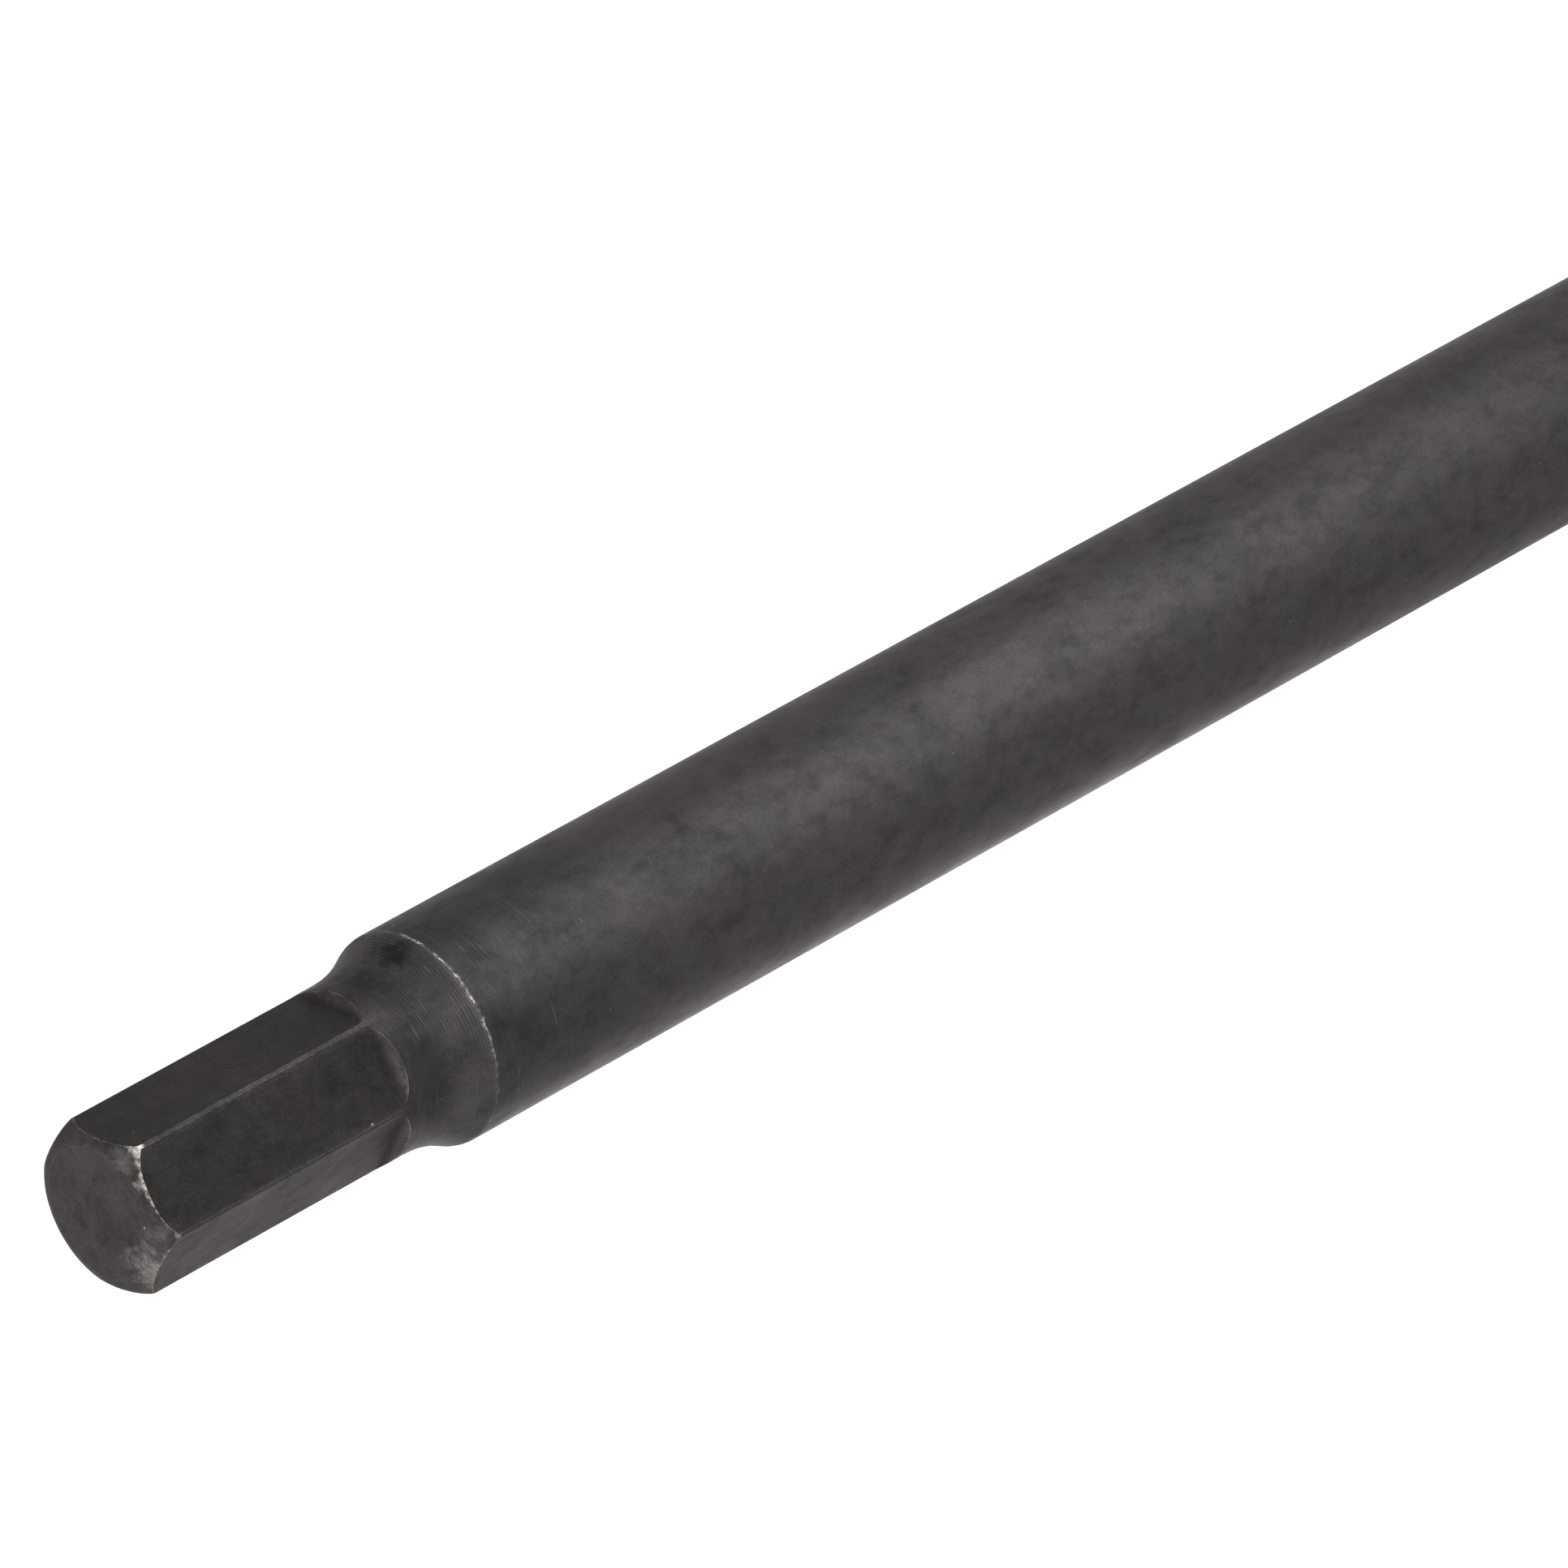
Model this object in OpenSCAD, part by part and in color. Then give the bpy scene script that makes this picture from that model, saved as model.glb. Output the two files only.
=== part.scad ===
// Extra-long impact hex driver: a square-drive body, a one-piece hexagon bit of forged
// bar held in it by a cross pin, and a rubber ring that keeps the pin in.
// It stands on the drive end, at z = 0, with the hexagon tip up. Sizes in millimetres.

/* [Hexagon tip] */
// Width across the milled flats of the tip
hex_af = 10; // [9.2:0.05:11]
// Straight length of the flats, from the end face to where the cutter starts to run out
flat_len = 19; // [14:0.1:26]
// Radius that the cutter's corner leaves at the end of each flat
runout_r = 1.4; // [0.3:0.05:1.7]
// How much further one opposite pair of flats is milled than the other two pairs
pair_extra = 0.15; // [0:0.05:1]
// Diameter of the flat end face
tip_face_d = 8.65; // [7.6:0.05:9.4]
// Length of the turned chamfer round the end face
tip_chamfer_len = 1.15; // [0.8:0.05:1.8]
// Crown radius of that chamfer, which is slightly domed
tip_crown_r = 2.1; // [1.7:0.1:6]

/* [Neck and shoulder] */
// Diameter of the turned neck, which also trims the corners of the hexagon
neck_d = 11.4; // [10.6:0.05:12.6]
// Distance from the end face to where the neck starts to swell into the shoulder
neck_len = 21.25; // [20.8:0.05:28]
// Radius of the hollow at the foot of the shoulder
shoulder_hollow_r = 8.4; // [3:0.1:12]
// Radius of the rounding where the shoulder meets the shank
shoulder_round_r = 1.25; // [0.5:0.05:3]

/* [Shank] */
// Height of the whole tool, from drive face to tip
overall_len = 200; // [150:1:300]
// Diameter of the round shank
shank_d = 13.9; // [13:0.05:13.95]

/* [Bit root] */
// Width across the flats of the hexagon bar that the bit is made from
root_af = 14; // [14:0.1:15]
// How far the hexagon root stands out of the body's nose
root_show = 2.5; // [1:0.1:8]
// Slope of the turned ends of the root's corners, measured from the end face's plane
root_slope = 30; // [20:1:45]
// Chamfer on the corners at the root's lower end
root_lead = 0.8; // [0.3:0.1:1.5]
// Length of the root held in the body
root_depth = 22; // [16:0.5:30]
// Clearance a side between the root and its bore
root_clear = 0.05; // [0.03:0.01:0.1]
// Endwise play of the bit on its cross pin
bit_play = 0.4; // [0.2:0.05:0.8]

/* [Body] */
// Outside diameter of the body
body_d = 26; // [25:0.5:30]
// Diameter of the body's front face
nose_d = 21.5; // [19.5:0.5:24]
// Length of the taper down to the front face
nose_len = 4.5; // [2:0.5:6]
// Radius of the edge between the body and its taper
nose_edge_r = 6; // [2:0.5:10]
// Chamfer round the drive end
foot_chamfer = 1; // [0.5:0.1:1.5]
// Thickness of the web between the square and the hexagon bore
web_t = 3; // [2:0.1:6]
// Diameter of the clearance hole through the web
web_hole_d = 9; // [6:0.1:10]
// Countersink at the mouth of the hexagon bore
mouth_chamfer = 0.5; // [0.2:0.1:1]

/* [Square drive] */
// Nominal size of the square anvil that drives the tool
drive_square = 12.7; // [12.5:0.05:13]
// Clearance a side between the anvil and the recess
drive_clear = 0.075; // [0.05:0.005:0.15]
// Depth of the square recess
drive_depth = 17; // [15:0.5:22]
// Corner radius of the square recess
drive_corner_r = 0.8; // [0.4:0.1:1.5]
// Diameter of the turned lead-in at the mouth of the square
drive_lead_d = 17; // [15:0.5:18]
// Slope of that lead-in, measured from the tool's axis
drive_lead_angle = 50; // [35:1:60]
// Diameter of the cross hole for the anvil's retaining pin
drive_hole_d = 4; // [3:0.1:4.5]
// Height of that hole and its groove above the drive face
drive_hole_z = 8; // [6.5:0.1:9]
// Width of the groove for the anvil's retaining ring
drive_groove_w = 4.6; // [4:0.1:5]
// Depth of that groove
drive_groove_depth = 1.8; // [1:0.1:2.2]

/* [Cross pin and ring] */
// Diameter of the cross pin
pin_d = 3.5; // [2.5:0.1:4]
// Chamfer on the ends of the pin
pin_chamfer = 0.4; // [0.2:0.05:0.6]
// Clearance a side between the pin and its holes
pin_clear = 0.05; // [0.03:0.01:0.09]
// Distance from the web to the axis of the pin
pin_rise = 11; // [8:0.1:13]
// Endwise play of the pin to each side, inside the ring
pin_play = 0.3; // [0.1:0.05:0.6]
// Room left for the ring's curve at each end of the pin
pin_end_gap = 0.15; // [0.12:0.01:0.3]
// Thickness of the rubber ring
ring_t = 3; // [2.4:0.1:3.4]
// Depth of the ring's groove
ring_groove_depth = 2.9; // [2.2:0.1:3]
// Clearance a side between the ring and the groove's walls
ring_side_gap = 0.1; // [0.05:0.05:0.4]

/* [Hidden] */
$fn = 96;

corner_ratio = 1 / cos(30);
over = 1;

body_len = drive_depth + web_t + root_depth;
web_top_z = drive_depth + web_t;
pin_z = web_top_z + pin_rise;

shank_r = shank_d / 2;
neck_r = neck_d / 2;
tip_face_r = tip_face_d / 2;
body_r = body_d / 2;
nose_r = nose_d / 2;
pin_r = pin_d / 2;

// The shoulder's hollow and rounding meet on a common tangent
shoulder_step = shank_r - neck_r;
shoulder_arcs = shoulder_hollow_r + shoulder_round_r;
shoulder_run = shoulder_arcs - shoulder_step;
shoulder_rise = sqrt(pow(shoulder_arcs, 2) - pow(shoulder_run, 2));
neck_z = overall_len - neck_len;
shoulder_z = neck_z - shoulder_rise;
tangent_r = shank_r - shoulder_round_r + shoulder_round_r * shoulder_run / shoulder_arcs;
tangent_z = shoulder_z + shoulder_round_r * shoulder_rise / shoulder_arcs;

// Centre of the tip chamfer's crown, on the chord's inner normal
chord_r = neck_r - tip_face_r;
chord = sqrt(pow(chord_r, 2) + pow(tip_chamfer_len, 2));
crown_back = sqrt(pow(tip_crown_r, 2) - pow(chord / 2, 2));
crown_r = (neck_r + tip_face_r) / 2 - crown_back * tip_chamfer_len / chord;
crown_z = overall_len - tip_chamfer_len / 2 - crown_back * chord_r / chord;

root_corner_r = root_af / 2 * corner_ratio;
root_top_z = body_len + root_show;
root_cone_len = (root_corner_r - shank_r) * tan(root_slope);
bit_hole_r = pin_r + pin_clear + bit_play / 2;
bit_hole_z = pin_z - bit_play / 2;

ring_floor_r = body_r - ring_groove_depth;
pin_len = 2 * (ring_floor_r - pin_play - pin_end_gap);

// A hexagon prism with flats square to X, standing on z = 0
module hexagon(af, len) {
    rotate([0, 0, 30]) cylinder(d = af * corner_ratio, h = len, $fn = 6);
}

// A cone that opens upwards or downwards, used to trim corners and mouths
module cone(r_low, r_high, z_low, len) {
    translate([0, 0, z_low]) cylinder(r1 = r_low, r2 = r_high, h = len);
}

// A round rod across the tool, centred on its axis
module cross_rod(r, len, z) {
    translate([0, 0, z]) rotate([0, 90, 0]) cylinder(r = r, h = len, center = true);
}

// Half outline of the shoulder: a rounding off the shank, then a hollow up to the neck.
// The two arcs touch in one point, so the whole rounding disc lies within the metal.
module shoulder_outline() {
    translate([0, body_len]) square([shank_r - shoulder_round_r, tangent_z - body_len]);
    translate([shank_r - shoulder_round_r, shoulder_z]) circle(r = shoulder_round_r);
    difference() {
        translate([0, tangent_z]) square([tangent_r, neck_z - tangent_z]);
        translate([neck_r + shoulder_hollow_r, neck_z]) circle(r = shoulder_hollow_r);
    }
}

// Half outline of the neck, from inside the shoulder to the domed chamfer and the end face
module neck_outline() {
    inside_len = overall_len - shoulder_z;
    intersection() {
        translate([0, shoulder_z]) square([neck_r, inside_len]);
        union() {
            translate([0, shoulder_z]) square([neck_r, inside_len - tip_chamfer_len]);
            translate([0, shoulder_z]) square([tip_face_r, inside_len]);
            translate([crown_r, crown_z]) circle(r = tip_crown_r);
        }
    }
}

// The turned part of the bit, from inside the root to the end face
module turned_bar() {
    rotate_extrude() {
        translate([0, body_len]) square([shank_r, shoulder_z - body_len]);
        shoulder_outline();
        neck_outline();
    }
}

// The hexagon root, with its corners turned off at both ends
module root() {
    intersection() {
        translate([0, 0, web_top_z]) hexagon(root_af, root_top_z - web_top_z);
        union() {
            cone(root_corner_r - root_lead, root_corner_r, web_top_z, root_lead);
            translate([0, 0, web_top_z + root_lead])
                cylinder(r = root_corner_r, h = root_depth + root_show - root_lead - root_cone_len);
            cone(root_corner_r, shank_r, root_top_z - root_cone_len, root_cone_len);
        }
    }
}

// What the cutter takes off one side of the tip, with its corner's radius at the run-out
module flat_cut(extra) {
    flat_x = hex_af / 2;
    end_z = overall_len - flat_len - extra;
    cut_w = shank_d + over;
    rotate([90, 0, 0]) linear_extrude(height = cut_w, center = true) {
        translate([flat_x, end_z]) square([shank_r, flat_len + extra + over]);
        translate([flat_x + runout_r, end_z]) circle(r = runout_r);
        translate([flat_x + runout_r, end_z - runout_r]) square([shank_r, runout_r]);
    }
}

module hex_bit() {
    color([0.26, 0.25, 0.25]) difference() {
        union() {
            turned_bar();
            root();
        }
        for (side = [0 : 5]) {
            rotate([0, 0, 60 * side]) flat_cut(side % 3 == 0 ? pair_extra : 0);
        }
        cross_rod(bit_hole_r, root_corner_r * 2 + over, bit_hole_z);
    }
}

// Half outline of the body: chamfered foot, straight barrel, rounded edge, tapered nose
module barrel_outline() {
    taper_angle = atan((body_r - nose_r) / nose_len);
    edge_half = nose_edge_r * tan(taper_angle / 2);
    taper_z = body_len - nose_len;
    edge_z = taper_z - edge_half;
    edge_top_z = taper_z + edge_half * cos(taper_angle);
    edge_top_r = body_r - edge_half * sin(taper_angle);
    polygon([
        [0, 0],
        [body_r - foot_chamfer, 0],
        [body_r, foot_chamfer],
        [body_r, edge_z],
        [edge_top_r, edge_top_z],
        [nose_r, body_len],
        [0, body_len],
    ]);
    intersection() {
        translate([body_r - nose_edge_r, edge_z]) circle(r = nose_edge_r);
        translate([body_r - nose_edge_r, edge_z]) square([nose_edge_r, edge_top_z - edge_z]);
    }
}

// The square recess with rounded corners
module square_recess() {
    half = drive_square / 2 + drive_clear;
    flat = half - drive_corner_r;
    translate([0, 0, -over]) linear_extrude(height = drive_depth + over) {
        square([half * 2, flat * 2], center = true);
        square([flat * 2, half * 2], center = true);
        for (x = [-flat, flat], y = [-flat, flat]) {
            translate([x, y]) circle(r = drive_corner_r);
        }
    }
}

// A square-walled groove turned round the body
module groove(z, w, depth) {
    translate([0, 0, z - w / 2]) difference() {
        cylinder(r = body_r + over, h = w);
        translate([0, 0, -over]) cylinder(r = body_r - depth, h = w + over * 2);
    }
}

// The lead-in cone at the mouth of the square
module drive_lead() {
    lead_r = drive_lead_d / 2;
    lead_len = lead_r / tan(drive_lead_angle);
    cone(lead_r, 0, 0, lead_len);
}

module drive_socket() {
    bore_af = root_af + root_clear * 2;
    bore_corner_r = bore_af / 2 * corner_ratio;
    color([0.24, 0.24, 0.24]) difference() {
        rotate_extrude() barrel_outline();
        square_recess();
        drive_lead();
        translate([0, 0, drive_depth - over]) cylinder(d = web_hole_d, h = web_t + over * 2);
        translate([0, 0, web_top_z]) hexagon(bore_af, root_depth + over);
        cone(bore_corner_r - mouth_chamfer, bore_corner_r + mouth_chamfer,
            body_len - mouth_chamfer, mouth_chamfer * 2);
        groove(drive_hole_z, drive_groove_w, drive_groove_depth);
        cross_rod(drive_hole_d / 2, body_d + over, drive_hole_z);
        groove(pin_z, ring_t + ring_side_gap * 2, ring_groove_depth);
        cross_rod(pin_r + pin_clear, body_d + over, pin_z);
    }
}

module bit_pin() {
    end_r = pin_r - pin_chamfer;
    color([0.55, 0.54, 0.52]) translate([-pin_len / 2, 0, pin_z]) rotate([0, 90, 0]) {
        cylinder(r1 = end_r, r2 = pin_r, h = pin_chamfer);
        translate([0, 0, pin_chamfer]) cylinder(r = pin_r, h = pin_len - pin_chamfer * 2);
        translate([0, 0, pin_len - pin_chamfer]) cylinder(r1 = pin_r, r2 = end_r, h = pin_chamfer);
    }
}

module pin_ring() {
    color([0.07, 0.07, 0.07]) translate([0, 0, pin_z]) rotate_extrude()
        translate([ring_floor_r + ring_t / 2, 0]) circle(d = ring_t);
}

drive_socket();
hex_bit();
bit_pin();
pin_ring();
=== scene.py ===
# %% [markdown]
# # An extra-long impact hexagon driver
# The tool stands on its drive end: a square-drive body, a hexagon bit held in it by a
# cross pin, and a rubber ring over the pin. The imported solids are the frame. They have
# every real edge already, so this lesson is about steel: how black phosphate, turning
# marks, scratches and worn edges are built from shader nodes that read only positions.

# %% Load the frame
import math

import bpy
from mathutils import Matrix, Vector

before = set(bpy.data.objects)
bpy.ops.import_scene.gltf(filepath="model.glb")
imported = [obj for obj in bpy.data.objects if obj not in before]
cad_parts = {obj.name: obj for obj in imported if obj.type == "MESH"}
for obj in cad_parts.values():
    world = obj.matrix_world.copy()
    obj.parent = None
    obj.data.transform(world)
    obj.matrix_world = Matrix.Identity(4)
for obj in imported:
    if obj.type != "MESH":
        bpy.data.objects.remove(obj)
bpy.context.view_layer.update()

# %% [markdown]
# The camera stands above the tip and looks down along the tool, turned on its side, as in
# the photograph. A short lens close by would make the shank taper across the picture. The
# photograph's shank hardly does, so the lens is long and stands far off. Its place and
# turn come from lining up the tool's edges.

# %% Camera
LENS_MM = 311.5
SENSOR_MM = 36.0
CAMERA_AT = (0.655003, 0.081293, 0.642697)
CAMERA_TURN = (-32.3756, 44.2083, -35.4389)

scene = bpy.context.scene
scene.view_settings.view_transform = "Standard"
camera_data = bpy.data.cameras.new("camera")
camera_data.lens = LENS_MM
camera_data.sensor_width = SENSOR_MM
camera_data.clip_start, camera_data.clip_end = 0.05, 20.0
camera = bpy.data.objects.new("camera", camera_data)
scene.collection.objects.link(camera)
camera.location = CAMERA_AT
camera.rotation_euler = [math.radians(angle) for angle in CAMERA_TURN]
scene.camera = camera
print("camera stands", round(camera.location.length, 3), "m from the drive end")

# %% [markdown]
# A shader pattern is a formula, and Blender draws a formula as a web of nodes. Placing and
# linking each node by hand takes several lines, so these helpers make one from a line that
# reads like the formula. A value may be a number, a colour or the output of another node.

# %% Helpers for formulas
def put(tree, value, socket):
    """Sets a socket, or links another node's output to it."""
    if isinstance(value, bpy.types.NodeSocket):
        tree.links.new(value, socket)
    else:
        socket.default_value = value


def calc(tree, operation, *values):
    """One Math node, named by its operation."""
    node = tree.nodes.new("ShaderNodeMath")
    node.operation = operation
    for value, socket in zip(values, node.inputs):
        put(tree, value, socket)
    return node.outputs[0]


def chain(tree, operation, values):
    """Joins several values by one operation, two at a time."""
    result = values[0]
    for value in values[1:]:
        result = calc(tree, operation, result, value)
    return result


def total(tree, *values):
    """The sum of several values."""
    return chain(tree, "ADD", values)


def times(tree, *values):
    """The product of several values."""
    return chain(tree, "MULTIPLY", values)


def least(tree, *values):
    """The smallest of several values."""
    return chain(tree, "MINIMUM", values)


def most(tree, *values):
    """The largest of several values."""
    return chain(tree, "MAXIMUM", values)


def minus(tree, first, second):
    """One value less another."""
    return calc(tree, "SUBTRACT", first, second)


def rest_of(tree, share):
    """What a share leaves of one."""
    return minus(tree, 1.0, share)


def apart(tree, first, second):
    """How far two values lie apart."""
    return calc(tree, "ABSOLUTE", minus(tree, first, second))


def root(tree, *squares):
    """The square root of a sum."""
    return calc(tree, "SQRT", total(tree, *squares))


print("formulas are made of", ", ".join(
    helper.__name__ for helper in (total, times, least, most, minus, rest_of, apart, root)))

# %% [markdown]
# Patterns also need a few nodes that aren't plain arithmetic: a smooth step between two
# limits, fractal noise, a mix of two colours or vectors, and a vector made, taken apart or
# scaled. A soft border is always a smooth step here, because a hard one looks jagged.

# %% Helpers for patterns
def fade(tree, value, start, stop, low=0.0, high=1.0):
    """A smooth step: low up to start, high from stop on."""
    node = tree.nodes.new("ShaderNodeMapRange")
    node.interpolation_type = "SMOOTHSTEP"
    for given, name in zip((value, start, stop, low, high),
                           ("Value", "From Min", "From Max", "To Min", "To Max")):
        put(tree, given, node.inputs[name])
    return node.outputs["Result"]


def noise(tree, place, per_mm, detail=3.0, rough=0.5, seed=0.0):
    """Fractal noise. A fourth coordinate, the seed, makes each use different."""
    node = tree.nodes.new("ShaderNodeTexNoise")
    node.noise_dimensions = "4D"
    put(tree, place, node.inputs["Vector"])
    node.inputs["W"].default_value = seed
    node.inputs["Scale"].default_value = per_mm
    node.inputs["Detail"].default_value = detail
    node.inputs["Roughness"].default_value = rough
    return node.outputs["Fac"]


def blend(tree, share, first, second, kind="Color"):
    """Mixes two colours, or two vectors where kind is Vector."""
    node = tree.nodes.new("ShaderNodeMix")
    node.data_type = "RGBA" if kind == "Color" else "VECTOR"
    sockets = {s.identifier: s for s in (*node.inputs, *node.outputs)}
    put(tree, share, sockets["Factor_Float"])
    put(tree, first, sockets["A_" + kind])
    put(tree, second, sockets["B_" + kind])
    return sockets["Result_" + kind]


def triple(tree, x, y, z):
    """Three values as one vector."""
    node = tree.nodes.new("ShaderNodeCombineXYZ")
    for value, socket in zip((x, y, z), node.inputs):
        put(tree, value, socket)
    return node.outputs[0]


def parts_of(tree, vector):
    """The three parts of a vector."""
    node = tree.nodes.new("ShaderNodeSeparateXYZ")
    put(tree, vector, node.inputs[0])
    return node.outputs


def vector_calc(tree, operation, vector):
    """A Vector Math node with its first input set."""
    node = tree.nodes.new("ShaderNodeVectorMath")
    node.operation = operation
    put(tree, vector, node.inputs[0])
    return node


def scaled(tree, vector, factor):
    """A vector or colour times a number."""
    node = vector_calc(tree, "SCALE", vector)
    put(tree, factor, node.inputs["Scale"])
    return node.outputs[0]


print("patterns are made of", ", ".join(
    helper.__name__ for helper in (fade, noise, blend, triple, parts_of, scaled)))

# %% [markdown]
# Every material starts with one Principled shader and the object coordinates. Object
# coordinates stay with a piece when its joint moves, so no pattern swims over the steel.
# A background has to look white without more light on the tool, so one more helper tells
# the rays that show the background from the rays that carry its light.

# %% Helpers for materials
DIRECT_RAYS = ("Is Camera Ray", "Is Glossy Ray", "Is Transmission Ray")


def fresh_material(name):
    """A material with nodes. Gives it, its tree, its shader, and the object coordinates."""
    material = bpy.data.materials.new(name)
    material.use_nodes = True
    tree = material.node_tree
    print("new material:", name)
    return (material, tree, tree.nodes["Principled BSDF"],
            tree.nodes.new("ShaderNodeTexCoord").outputs)


def seen_directly(tree):
    """One for rays that show the background: from the camera, in gloss, and through glass."""
    path = tree.nodes.new("ShaderNodeLightPath").outputs
    return most(tree, *(path[kind] for kind in DIRECT_RAYS))


print("the background shows itself where a ray says", " or ".join(DIRECT_RAYS))

# %% [markdown]
# The floor is a wide pale sheet. It looks white to the camera and in the steel, but only a
# part of that is its own glow. The rest is the lamps' light, so the tool still throws its
# soft shadow on it. Round the foot, where the lamps shine most, the camera sees less glow.
# The sheet lies a hair under the drive face, so the two don't fight for one plane.

# %% Floor
MM = 0.001
FLOOR_SIZE = 8.0
FLOOR_DROP = 0.02 * MM
FLOOR_GREY, FLOOR_ROUGH = (0.8, 0.8, 0.8, 1), 0.9
WHITE = (1, 1, 1, 1)
GLOW_MIRRORED = 0.70
GLOW_NEAR, GLOW_FAR = 0.43, 0.80
NEAR_REACH, FAR_REACH = 0.10, 0.90

bpy.ops.object.select_all(action="DESELECT")
bpy.ops.mesh.primitive_plane_add(size=FLOOR_SIZE, location=(0, 0, -FLOOR_DROP))
floor = bpy.context.object
floor.name = "floor"

pale, tree, shader, own = fresh_material("pale floor")
shader.inputs["Base Color"].default_value = FLOOR_GREY
shader.inputs["Roughness"].default_value = FLOOR_ROUGH
shader.inputs["Specular IOR Level"].default_value = 0.0
shader.inputs["Emission Color"].default_value = WHITE
reach = vector_calc(tree, "LENGTH", own["Object"]).outputs["Value"]
looked_at = fade(tree, reach, NEAR_REACH, FAR_REACH, GLOW_NEAR, GLOW_FAR)
to_camera = tree.nodes.new("ShaderNodeLightPath").outputs["Is Camera Ray"]
glow = total(tree, times(tree, to_camera, looked_at),
             times(tree, rest_of(tree, to_camera), GLOW_MIRRORED))
put(tree, times(tree, seen_directly(tree), glow), shader.inputs["Emission Strength"])
floor.data.materials.append(pale)
print("floor is", [round(v, 1) for v in floor.dimensions], "m")

# %% [markdown]
# A real tool can be picked up and looked at from below. The floor would hide its drive
# end, and a floor made smaller or taken away would cost the shadow. So the sheet is
# one-sided: its back is clear.

# %% Floor seen from below
one_sided = tree.nodes.new("ShaderNodeMixShader")
for source, socket in zip((
        tree.nodes.new("ShaderNodeNewGeometry").outputs["Backfacing"], shader.outputs[0],
        tree.nodes.new("ShaderNodeBsdfTransparent").outputs[0]), one_sided.inputs):
    put(tree, source, socket)
put(tree, one_sided.outputs[0], tree.nodes["Material Output"].inputs["Surface"])
print("floor material has", len(tree.nodes), "nodes")

# %% [markdown]
# The world is white where it is looked at or mirrored, and a soft grey level of light
# everywhere else. A white world would do for the background alone, but it would flood the
# tool and wash out the dark steel.

# %% World
WORLD_FILL = 0.3

world = bpy.data.worlds.new("studio")
scene.world = world
world.use_nodes = True
tree = world.node_tree
tree.nodes.clear()
choice = tree.nodes.new("ShaderNodeMixShader")
put(tree, seen_directly(tree), choice.inputs["Fac"])
for strength, socket in zip((WORLD_FILL, 1.0), choice.inputs[1:]):
    sky = tree.nodes.new("ShaderNodeBackground")
    sky.inputs["Color"].default_value = WHITE
    sky.inputs["Strength"].default_value = strength
    put(tree, sky.outputs[0], socket)
put(tree, choice.outputs[0], tree.nodes.new("ShaderNodeOutputWorld").inputs["Surface"])
print("world gives", WORLD_FILL, "of light and shows white")

# %% [markdown]
# In the photograph the tool lies down, and a broad soft box over it draws the wide band
# of light along the shank. Here the tool stands, so the box's mirror place is low beside
# it: a steep view down a standing bar reflects what lies round its foot. The main sheet
# therefore lies just over the floor, and a second one draws the pale lower rim. Boxes at
# the front, the side and the back light the flats, the chamfer and the end face. Each is
# given by bearing in degrees, then by distance from the axis, height and size in metres.

# %% Lamps
AIM = Vector((0, 0, 0.13))


def soft_box(name, bearing, distance, height, width, depth, radiance, face_up=False):
    """A rectangular lamp. Its power follows from its size and how bright its face is."""
    data = bpy.data.lights.new(name, "AREA")
    data.shape = "RECTANGLE"
    data.size, data.size_y = width, depth
    data.energy = radiance * math.pi * width * depth
    lamp = bpy.data.objects.new(name, data)
    scene.collection.objects.link(lamp)
    turn = math.radians(bearing)
    lamp.location = (distance * math.cos(turn), distance * math.sin(turn), height)
    if face_up:
        lamp.rotation_euler = (math.pi, 0, turn + math.pi / 2)
    else:
        lamp.rotation_euler = (AIM - lamp.location).to_track_quat("-Z", "Y").to_euler()
    lamp.visible_camera = False
    print(name, "gives", round(data.energy, 2), "W")


soft_box("low sheet", 34, 0.185, 0.006, 0.22, 0.12, 10.5, face_up=True)
soft_box("front box", 8, 0.70, 0.24, 0.36, 0.36, 5.0)
soft_box("side box", -90, 0.70, 0.90, 0.60, 0.60, 3.6)
soft_box("side reflector", -90, 0.70, 0.22, 0.40, 0.40, 1.2)
soft_box("back box", 180, 0.70, 0.90, 0.60, 0.60, 3.0)
soft_box("back sheet", -140, 0.24, 0.006, 0.30, 0.24, 1.6, face_up=True)

# %% [markdown]
# A finish that several materials share is a node group, so it is built once. These
# helpers open a group with named sockets, close it with its results, and place it in a
# material.

# %% Helpers for groups
KINDS = {"v": "NodeSocketVector", "f": "NodeSocketFloat", "c": "NodeSocketColor"}


def new_group(name, inputs, outputs):
    """An empty group. The letter after each label says vector, float or colour."""
    tree = bpy.data.node_groups.new(name, "ShaderNodeTree")
    for labels, side in ((inputs, "INPUT"), (outputs, "OUTPUT")):
        for label, kind in labels.items():
            tree.interface.new_socket(label, in_out=side, socket_type=KINDS[kind])
    return (tree, tree.nodes.new("NodeGroupInput").outputs,
            tree.nodes.new("NodeGroupOutput").inputs)


def close_group(tree, made, results):
    """Links the results, says how large the group has become, and gives it."""
    for label, value in results.items():
        put(tree, value, made[label])
    print("group", tree.name, "has", len(tree.nodes), "nodes")
    return tree


def place_group(tree, group, values):
    """Puts a group in a tree, sets or links its inputs, and gives its outputs."""
    node = tree.nodes.new("ShaderNodeGroup")
    node.node_tree = group
    for label, value in values.items():
        put(tree, value, node.inputs[label])
    return node.outputs


print("a group's socket is one of", ", ".join(KINDS.values()))

# %% [markdown]
# Everything on this tool was turned in a lathe or lies round its axis. So the first group
# turns an object position into what a turner measures, in millimetres: the radius, the
# height and the bearing round the axis. Two more measures belong to the nearest flat of a
# hexagon: its distance from the axis, and the place across it. Unwrapped textures could
# carry the patterns too, but they need seams, and these measures have none.

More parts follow.
